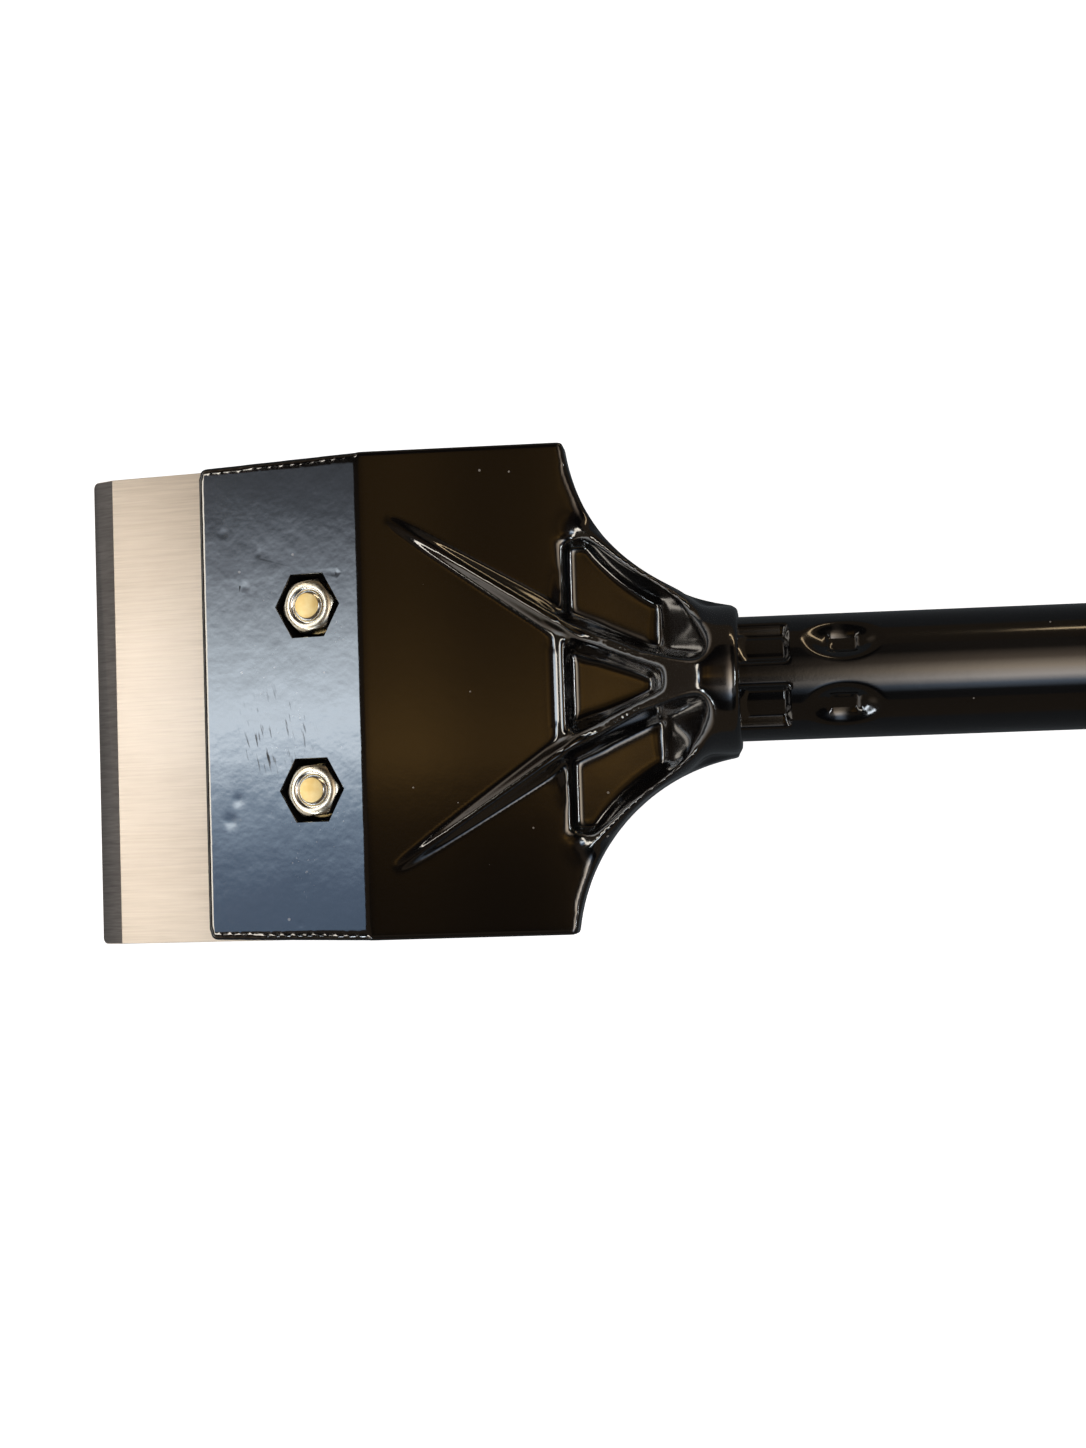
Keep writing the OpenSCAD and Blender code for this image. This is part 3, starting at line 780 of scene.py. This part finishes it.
# %% Nuts
NUT_FLATS, NUT_H, NUT_BREAK = 13, 6.5, 0.25
NUT_BLANK = ((4.0, -NUT_H), (6.3, -NUT_H), (7.6, -5.7), (7.6, -1.75), (7.45, -1.35), (7.1, -0.85),
             (6.7, -0.5), (6.2, -0.2), (5.7, -0.05), (5.2, 0), (4.75, -0.05), (4.45, -0.25), (4.0, -0.7),
             (4.0, -NUT_H))
THREAD_RIM_R = 4.6
LEFT_TWIST, RIGHT_TWIST = 4, 10
for hand, side, twist in (("left", -1, LEFT_TWIST), ("right", 1, RIGHT_TWIST)):
    nut = lathe(f"nut_{hand}_piece", NUT_BLANK)
    sides = added("sides", bpy.ops.mesh.primitive_cylinder_add, vertices=6, depth=2 * NUT_H,
                  radius=NUT_FLATS / 2 / math.cos(math.pi / 6), location=(0, 0, -NUT_H / 2),
                  rotation=(0, 0, math.radians(twist - 30)))
    modify(nut, "BOOLEAN", operation="INTERSECT", solver="EXACT", object=sides)
    bpy.data.objects.remove(sides)
    modify(nut, "BEVEL", width=NUT_BREAK, segments=3, limit_method="ANGLE", angle_limit=math.radians(35))
    bpy.ops.object.shade_smooth_by_angle(angle=math.radians(45))
    two_materials(nut, nut_plating, bright_turned, lambda face: face.center.xy.length < THREAD_RIM_R)
    to_seat(nut, BOLT_AHEAD, side * BOLT_SIDE)
    finish_piece(nut, f"nut_{hand}", "nut_zinc")

# %% Bolts and lock washers
BOLT_BREAK, WASHER_BREAK = 0.15, 0.2
BOLT_END_R, BOLT_END_DEPTH = 3.3, 2


def broken_copy(node, width):
    """A copy of a CAD node with its flat faces whole again and its edges broken."""
    piece = copy_node(node, f"{node}_piece")
    bpy.ops.object.mode_set(mode="EDIT")
    bpy.ops.mesh.select_all(action="SELECT")
    bpy.ops.mesh.dissolve_limited(angle_limit=math.radians(0.5))
    bpy.ops.object.mode_set(mode="OBJECT")
    modify(piece, "BEVEL", width=width * MM, segments=3, limit_method="ANGLE", angle_limit=math.radians(30))
    bpy.ops.object.shade_smooth_by_angle(angle=math.radians(35))
    return piece


def on_turned_ring(face):
    """Whether a bolt's face is on the bare ring around its upper end."""
    ahead, side, above = over_seat(face.center)
    return above > -BOLT_END_DEPTH and math.hypot(ahead - BOLT_AHEAD, abs(side) - BOLT_SIDE) > BOLT_END_R


for hand in ("left", "right"):
    bolt = broken_copy(f"bolt_{hand}", BOLT_BREAK)
    two_materials(bolt, bolt_gold, bright_turned, on_turned_ring)
    finish_piece(bolt, f"bolt_{hand}", "bolt_zinc")
    washer = broken_copy(f"lock_washer_{hand}", WASHER_BREAK)
    # The washer takes the darker gold: painted shade deep in its pocket.
    finish_piece(washer, f"lock_washer_{hand}", "washer_zinc", washer_gold_painted_shade)

# %% [markdown]
# ## The tube
# The tube is plain but for the two rows of crimps that hold it on the head. They were pressed in by a tool
# with a square nose, so each is a soft hollow with a small flat floor. A ring of fine cells is made by
# subdividing the first stretch, a vertex group holds how deep each point is pressed, and a Displace modifier
# presses it.

# %% Tube blank
TUBE_R, TUBE_END = 15.875, 1292
TUBE_SIDES = 160
CRIMP_ZONE, CRIMP_CUTS = 150, 119
tube = added("handle_tube_piece", bpy.ops.mesh.primitive_cylinder_add, vertices=TUBE_SIDES,
             radius=TUBE_R * MM, depth=(TUBE_END - TUBE_START) * MM,
             location=at((TUBE_START + TUBE_END) / 2, 0, 0), rotation=(0, math.pi / 2, 0))
bpy.ops.object.transform_apply(location=True, rotation=True, scale=True)
bpy.ops.object.mode_set(mode="EDIT")
bpy.ops.mesh.select_all(action="SELECT")
bpy.ops.mesh.bisect(plane_co=at(CRIMP_ZONE, 0, 0), plane_no=(1, 0, 0))
bpy.ops.mesh.select_mode(type="EDGE")
bpy.ops.mesh.select_all(action="DESELECT")
bpy.ops.object.mode_set(mode="OBJECT")
for edge in tube.data.edges:
    ends = [tube.data.vertices[i].co for i in edge.vertices]
    lengthwise = abs(ends[0].x - ends[1].x) > 1 * MM
    edge.select = lengthwise and max(end.x for end in ends) < at(CRIMP_ZONE + 1, 0, 0).x
bpy.ops.object.mode_set(mode="EDIT")
bpy.ops.mesh.subdivide(number_cuts=CRIMP_CUTS)
bpy.ops.mesh.select_mode(type="VERT")
bpy.ops.object.mode_set(mode="OBJECT")
print("tube blank:", len(tube.data.polygons), "faces")

# %% Crimp shapes
CRIMP_HALF = 6.6
BOX_END, BOX_END_WALL, BOX_SIDE_WALL = 12.4, 1.6, 2.6
OVAL_MIDDLE, OVAL_LONG, OVAL_RISE, OVAL_SHARE = 25.4, 10.5, 1.6, 0.7
NOSE_LONG, NOSE_HALF, NOSE_EDGE, NOSE_RISE, NOSE_SHARE = 3.4, 2.6, 1.25, 2.5, 0.3


def smooth_step(value):
    """0 below 0, 1 above 1 and a soft rise in between."""
    value = min(1.0, max(0.0, value))
    return value * value * (3 - 2 * value)


def first_row(along, across):
    """A pressed box that starts under the collar and ends in a steep wall."""
    return (smooth_step((BOX_END - along) / BOX_END_WALL)
            * smooth_step((CRIMP_HALF - abs(across)) / BOX_SIDE_WALL))


def second_row(along, across):
    """A soft oval hollow with a small flat floor."""
    oval = 1 - math.hypot((along - OVAL_MIDDLE) / OVAL_LONG, across / CRIMP_HALF)
    nose = max(abs(along - OVAL_MIDDLE) / NOSE_LONG, abs(across) / NOSE_HALF)
    return (OVAL_SHARE * smooth_step(oval * OVAL_RISE)
            + NOSE_SHARE * smooth_step((NOSE_EDGE - nose) * NOSE_RISE))


print("depth in the middle:", first_row(0, 0), second_row(OVAL_MIDDLE, 0))

# %% Press the crimps
MOUTH = 98
CRIMP_DEPTH = 2.6
CRIMP_ANGLES = (-32.5, 32.5, 147.5, 212.5)
presses = tube.vertex_groups.new(name="crimps")
for vertex in tube.data.vertices:
    along = drawn(vertex.co)[0] - MOUTH
    if along > CRIMP_ZONE - MOUTH - 1 or along < -1:
        continue
    angle = math.degrees(math.atan2(vertex.co.y, vertex.co.z - AXIS_Z))
    depth = 0.0
    for middle_angle in CRIMP_ANGLES:
        across = math.radians((angle - middle_angle + 180) % 360 - 180) * TUBE_R
        depth = max(depth, first_row(along, across), second_row(along, across))
    if depth > 0:
        presses.add([vertex.index], depth, "REPLACE")
modify(tube, "DISPLACE", strength=-CRIMP_DEPTH * MM, mid_level=0.0, vertex_group="crimps")
tube.vertex_groups.clear()
bpy.ops.object.shade_smooth_by_angle(angle=math.radians(40))
finish_piece(tube, "handle_tube", "tube_paint", tube_paint)

# %% [markdown]
# ## The hand grip and the end cap
# The photograph doesn't show the far end, so this is the usual ribbed rubber sleeve and plastic cap. A
# lathe is the natural tool for both: a profile is drawn as a line and spun around the handle's axis.

# %% Rubber and plastic
DUST_GREY = (0.10, 0.10, 0.10, 1)


def soft_plastic(name, colour, roughness, grain_scale, grain_depth):
    """Black rubber or plastic with a fine moulded grain."""
    material, tree, shader, place = new_material(name, IOR=1.45)
    dusty = place_group(tree, dust, place, Scale=500, Share=0.12).outputs["Mask"]
    tree.links.new(mix_colour(tree, dusty, colour, DUST_GREY), shader.inputs["Base Color"])
    rough_and_bump(tree, shader, noise(tree, place, grain_scale, 3.0), roughness - 0.1, roughness + 0.1,
                   strength=0.5, depth=grain_depth)
    return material


grip_rubber = soft_plastic("grip_rubber", (0.018, 0.018, 0.018, 1),
                           roughness=0.62, grain_scale=1400, grain_depth=0.08)
cap_plastic = soft_plastic("cap_plastic", (0.015, 0.015, 0.016, 1),
                           roughness=0.45, grain_scale=900, grain_depth=0.05)
print("grip finishes:", grip_rubber.name, cap_plastic.name)

# %% Grip and cap profiles
GRIP_LEN, GRIP_R, RINGS = 260, 19.1, 18
GRIP_START = TUBE_END - GRIP_LEN
RING_PITCH = GRIP_LEN / (RINGS + 2)
RING = ((-0.5, 0), (0.1, 0.12), (0.6, 0.55), (1.3, 0.8), (3.0, 0.8), (3.7, 0.55), (4.2, 0.12), (4.8, 0))
GRIP_FRONT = ((TUBE_R, 0), (TUBE_R + 1.6, 0), (TUBE_R + 2.4, 0.5), (GRIP_R - 0.2, 1.5), (GRIP_R, 2.5))
GRIP_BACK = ((GRIP_R, -1.2), (GRIP_R - 0.3, -0.4), (GRIP_R - 1.0, 0), (TUBE_R, 0))
CAP_R, CAP_T, CAP_DISH = 18.5, 4, 0.6
CAP = ((0, 0), (CAP_R - 0.4, 0), (CAP_R, 0.3), (CAP_R, 1.6), (CAP_R - 0.5, 2.6), (CAP_R - 1.4, 3.3),
       (CAP_R - 3, 3.8), (CAP_R - 6, CAP_T), (5, CAP_T), (4, CAP_T - CAP_DISH), (0, CAP_T - CAP_DISH))


def stations(profile, start):
    """A profile moved along the handle to its start."""
    return [(radius, start + height) for radius, height in profile]


grip_profile = stations(GRIP_FRONT, GRIP_START)
for i in range(1, RINGS + 1):
    ring_start = GRIP_START + (i + 0.5) * RING_PITCH
    grip_profile += stations([(GRIP_R - drop, step) for step, drop in RING], ring_start)
grip_profile += stations(GRIP_BACK, TUBE_END)
cap_profile = stations(CAP, TUBE_END)
print("profiles of", len(grip_profile), "and", len(cap_profile), "points")


# %% Grip and cap
def to_handle(piece):
    """Moves a mesh turned around Z onto the handle's axis, with its heights as stations."""
    along_x = Matrix.Rotation(math.pi / 2, 4, "Y")
    piece.data.transform(Matrix.Translation(at(0, 0, 0)) @ Matrix.Scale(MM, 4) @ along_x)
    return piece


grip = to_handle(lathe("hand_grip_piece", grip_profile))
finish_piece(grip, "hand_grip", "grip_rubber", grip_rubber)
cap = to_handle(lathe("end_cap_piece", cap_profile))
finish_piece(cap, "end_cap", "cap_plastic", cap_plastic)

# %% [markdown]
# ## Light and floor
# The ground of the photograph is white. The sloping seat mirrors a pale cool window, the level plate mirrors
# something warm and brown overhead, and the blade something bright ahead of it. Gloss black shows little
# but what it mirrors, so each of these is a glowing card, whose colours run along its two sides. Three soft
# lamps add to the thin highlights. The floor and the world look white to the camera and are dim in mirrors.


# %% Bare materials
def bare_material(name):
    """A material without a shader: the material, its tree, and the socket that shows."""
    material = bpy.data.materials.new(name)
    material.use_nodes = True
    tree = material.node_tree
    tree.nodes.remove(tree.nodes["Principled BSDF"])
    return material, tree, tree.nodes["Material Output"].inputs["Surface"]


print("bare materials ready")

# %% Floor
FLOOR_SIZE, FLOOR_DROP = 30, 0.5
FLOOR_WHITE, FLOOR_COOL = (0.8, 0.8, 0.8, 1), (0.85, 0.93, 1.0, 1)
SEEN_GLOW, MIRRORED_GLOW = 0.9, 0.06
floor = added("floor", bpy.ops.mesh.primitive_plane_add, size=FLOOR_SIZE, location=(0, 0, -FLOOR_DROP * MM))
floor_material, floor_tree, floor_surface = bare_material("white_floor")
floor_path = add(floor_tree, "ShaderNodeLightPath").outputs
floor_seen = math_node(floor_tree, "MAXIMUM", floor_path["Is Camera Ray"], floor_path["Is Transmission Ray"])
floor_matt = add(floor_tree, "ShaderNodeBsdfDiffuse", Color=FLOOR_WHITE)
floor_glow = add(floor_tree, "ShaderNodeEmission")
floor_mirrored = add(floor_tree, "ShaderNodeEmission", Color=FLOOR_COOL, Strength=MIRRORED_GLOW)
floor_sum = add(floor_tree, "ShaderNodeAddShader")
floor_mix = add(floor_tree, "ShaderNodeMixShader")
for source, target in (
        (math_node(floor_tree, "MULTIPLY", floor_seen, SEEN_GLOW), floor_glow.inputs["Strength"]),
        (floor_matt.outputs[0], floor_sum.inputs[0]), (floor_glow.outputs[0], floor_sum.inputs[1]),
        (floor_path["Is Glossy Ray"], floor_mix.inputs[0]), (floor_sum.outputs[0], floor_mix.inputs[1]),
        (floor_mirrored.outputs[0], floor_mix.inputs[2]), (floor_mix.outputs[0], floor_surface)):
    floor_tree.links.new(source, target)
floor.data.materials.append(floor_material)
print("floor:", floor_material.name)

# %% World
AHEAD_LEVEL, SIDE_LEVEL, LIT_LEVEL = 1.1, 0.08, 0.35
SKY_WHITE, SKY_WARM = (1, 1, 1, 1), (1.0, 0.72, 0.45, 1)
world = bpy.data.worlds.new("studio")
bpy.context.scene.world = world
world.use_nodes = True
sky = world.node_tree
sky_path = add(sky, "ShaderNodeLightPath").outputs
sky_axes = split_axes(sky, add(sky, "ShaderNodeTexCoord").outputs["Generated"])
low_ahead = math_node(sky, "MULTIPLY", ramp(sky, sky_axes["X"], -0.85, -0.45, 1, 0),
                      ramp(sky, sky_axes["Z"], 0.22, 0.32, 1, 0))
seen = math_node(sky, "MAXIMUM", sky_path["Is Camera Ray"], sky_path["Is Transmission Ray"])
mirrored = math_node(sky, "MULTIPLY", sky_path["Is Glossy Ray"],
                     ramp(sky, low_ahead, 0, 1, SIDE_LEVEL, AHEAD_LEVEL))
lit = math_node(sky, "MULTIPLY", sky_path["Is Diffuse Ray"], LIT_LEVEL)
sky_level = math_node(sky, "ADD", math_node(sky, "ADD", seen, mirrored), lit)
around = math_node(sky, "MULTIPLY", sky_path["Is Glossy Ray"], math_node(sky, "SUBTRACT", 1.0, low_ahead))
background = sky.nodes["Background"].inputs
sky.links.new(sky_level, background["Strength"])
sky.links.new(mix_colour(sky, around, SKY_WHITE, SKY_WARM), background["Color"])
print("world:", world.name)


# %% Card helpers
def grey(level):
    """A colour without a tint."""
    return (level, level, level)


def stops(tree, value, low, high, colours):
    """A colour ramp over a coordinate between low and high; colours are (coordinate, colour) pairs."""
    node = add(tree, "ShaderNodeValToRGB")
    points = node.color_ramp.elements
    while len(points) < len(colours):
        points.new(0.5)
    for point, (spot, colour) in zip(points, colours):
        point.position = (spot - low) / (high - low)
        point.color = (*colour, 1)
    tree.links.new(ramp(tree, value, low, high), node.inputs["Fac"])
    return node.outputs["Color"]


def glow_card(name, centre, size_x, size_y, strength, along_x, along_y, tilt=0.0):
    """A card that shines only into reflections and onto the tool; its colour runs along X and along Y."""
    card = added(name, bpy.ops.mesh.primitive_plane_add, size=1)
    card.data.transform(Matrix.Diagonal((size_x, size_y, 1, 1)))
    card.location = centre
    card.rotation_euler = (0, tilt, 0)
    card.visible_camera = False
    card.visible_shadow = False
    material, tree, surface = bare_material(name)
    axes = split_axes(tree, add(tree, "ShaderNodeTexCoord").outputs["Object"])
    product = add(tree, "ShaderNodeMix", data_type="RGBA", blend_type="MULTIPLY")
    product.inputs[0].default_value = 1
    tree.links.new(stops(tree, axes["X"], -size_x / 2, size_x / 2, along_x), product.inputs[6])
    tree.links.new(stops(tree, axes["Y"], -size_y / 2, size_y / 2, along_y), product.inputs[7])
    glow = add(tree, "ShaderNodeEmission", Strength=strength)
    tree.links.new(product.outputs[2], glow.inputs["Color"])
    tree.links.new(glow.outputs[0], surface)
    card.data.materials.append(material)
    print("card:", name)


print("card helpers ready")

# %% Glowing cards
CARD_WARM, CARD_COOL = (1.0, 0.92, 0.81), (0.80, 0.90, 1.0)
glow_card("overhead", at(0, 0, 1700), size_x=4.4, size_y=4.4, strength=2.2,
          along_x=[(-2.2, (0.03, 0.025, 0.02)), (0.05, (0.04, 0.03, 0.02)), (0.16, grey(0.45)),
                   (0.34, grey(1.7)), (0.52, grey(1.7)), (0.62, grey(0.15)), (2.2, grey(0.1))],
          along_y=[(-1.3, grey(0.01)), (-0.85, (0.20, 0.25, 0.32)), (-0.45, (1.0, 0.92, 0.85)),
                   (0.0, (0.75, 0.62, 0.48)), (0.5, (0.20, 0.155, 0.115)), (1.2, (0.02, 0.016, 0.012))])
glow_card("warm_ahead", at(-1620, 0, 1650), size_x=0.42, size_y=2.8, strength=6.3,
          along_x=[(-0.21, CARD_WARM), (0.21, CARD_WARM)], along_y=[(-1.4, grey(1)), (1.4, grey(1))])
glow_card("brown_board", at(-180, 100, 1650), size_x=0.64, size_y=0.9, strength=1.0,
          along_x=[(-0.32, (0.10, 0.055, 0.015)), (-0.12, (0.30, 0.165, 0.045)),
                   (-0.05, (0.415, 0.23, 0.062)), (0.015, (0.23, 0.127, 0.035)), (0.08, (0.27, 0.149, 0.04)),
                   (0.11, (0.35, 0.19, 0.045)), (0.136, (0.70, 0.38, 0.09)), (0.165, (0.32, 0.176, 0.045)),
                   (0.21, (0.28, 0.155, 0.04)), (0.27, (0.08, 0.05, 0.02))],
          along_y=[(-0.45, grey(0.03)), (-0.16, grey(0.12)), (-0.10, grey(0.20)), (-0.075, grey(0.45)),
                   (-0.047, grey(1)), (0.027, grey(0.56)), (0.065, grey(0.44)), (0.12, grey(0.32)),
                   (0.45, grey(0.25))])
glow_card("window", on_seat(0, 87, 0) + Vector((-0.762, 0, 1.034)), size_x=0.26, size_y=0.50, strength=5.3,
          along_x=[(-0.13, CARD_COOL), (0.13, CARD_COOL)],
          along_y=[(-0.25, (0.09, 0.12, 0.16)), (-0.145, (0.11, 0.14, 0.19)), (-0.0835, (0.29, 0.34, 0.40)),
                   (-0.023, grey(1)), (0.039, grey(0.62)), (0.10, (0.25, 0.25, 0.26)),
                   (0.146, (0.08, 0.08, 0.085)), (0.25, grey(0.03))], tilt=math.radians(-36))


# %% Lamps
def soft_lamp(name, spot, size_x, size_y, watts, colour):
    """A rectangular soft lamp that faces the head."""
    lamp = added(name, bpy.ops.object.light_add, type="AREA", location=spot)
    lamp.data.shape = "RECTANGLE"
    lamp.data.size = size_x
    lamp.data.size_y = size_y
    lamp.data.energy = watts
    lamp.data.color = colour
    lamp.rotation_euler = (at(0, 0, 0) - spot).to_track_quat("-Z", "Y").to_euler()


soft_lamp("cool_left", at(-690, -1056, 985), size_x=0.12, size_y=0.40, watts=1.8, colour=(0.85, 0.93, 1.0))
soft_lamp("warm_right", at(800, 1400, 560), size_x=1.0, size_y=0.10, watts=1.6, colour=(1.0, 0.75, 0.45))
soft_lamp("cool_behind", at(900, 0, 1000), size_x=0.5, size_y=0.03, watts=2, colour=(0.9, 0.95, 1.0))

# %% [markdown]
# ## Done
# The view transform stays plain, so that a colour renders about as it is written.

# %% Finish
bpy.context.scene.view_settings.view_transform = "Standard"
